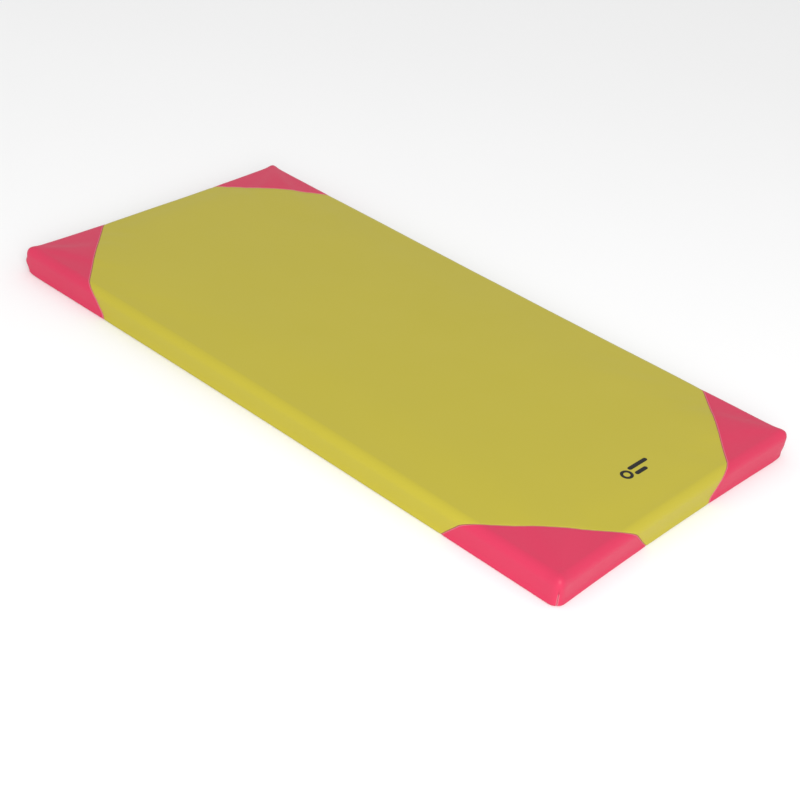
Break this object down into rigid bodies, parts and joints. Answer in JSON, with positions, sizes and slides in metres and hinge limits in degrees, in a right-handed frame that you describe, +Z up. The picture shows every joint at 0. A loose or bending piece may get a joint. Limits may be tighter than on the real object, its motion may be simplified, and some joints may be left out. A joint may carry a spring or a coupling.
{
  "type": "padded gym mat",
  "caption": "Rectangular padded floor mat for tumbling: a foam block in a zipped vinyl cover, with corner panels in a second colour and a non-slip base.",
  "frame": {"origin": "middle of the base, on the floor", "axes": "+X along the mat away from the zipped end, +Y across it, +Z up"},
  "size_m": [2.0045, 1, 0.08],
  "materials": {
    "main_vinyl": "satin",
    "corner_vinyl": "satin",
    "base_vinyl": "matte",
    "foam": "matte",
    "main_thread": "satin",
    "corner_thread": "satin",
    "zip_tape": "matte",
    "zip_plastic": "satin",
    "zip_metal": "satin"
  },
  "bodies": {
    "mat": {"foam_core": "foam", "base_panel": "base_vinyl", "top_panel": "main_vinyl", "zip_band": "main_vinyl", "corner_panel_near_left": "corner_vinyl", "corner_panel_near_right": "corner_vinyl", "corner_panel_far_left": "corner_vinyl", "corner_panel_far_right": "corner_vinyl", "corner_seam_threads": "corner_thread", "corner_edge_threads": "corner_thread", "base_seam_thread": "main_thread", "zip_seam_threads": "main_thread", "zip_tape_upper": "zip_tape", "zip_tape_lower": "zip_tape", "zip_teeth_upper": "zip_plastic", "zip_teeth_lower": "zip_plastic", "zip_end_stops": "zip_plastic"},
    "slider": {"zip_slider": "zip_metal"},
    "pull": {"zip_pull": "zip_metal"}
  },
  "joints": [
    {"name": "zip_slide", "type": "slide", "parent": "mat", "child": "slider", "axis": [0, 1, 0], "range_m": [0, 0.873], "deforming": ["zip_teeth_upper", "zip_teeth_lower"]},
    {"name": "pull_flip", "type": "hinge", "parent": "slider", "child": "pull", "pos_m": [-1.00275, -0.4372, 0.022], "axis": [0, 0, 1], "range_deg": [0, 180]}
  ]
}
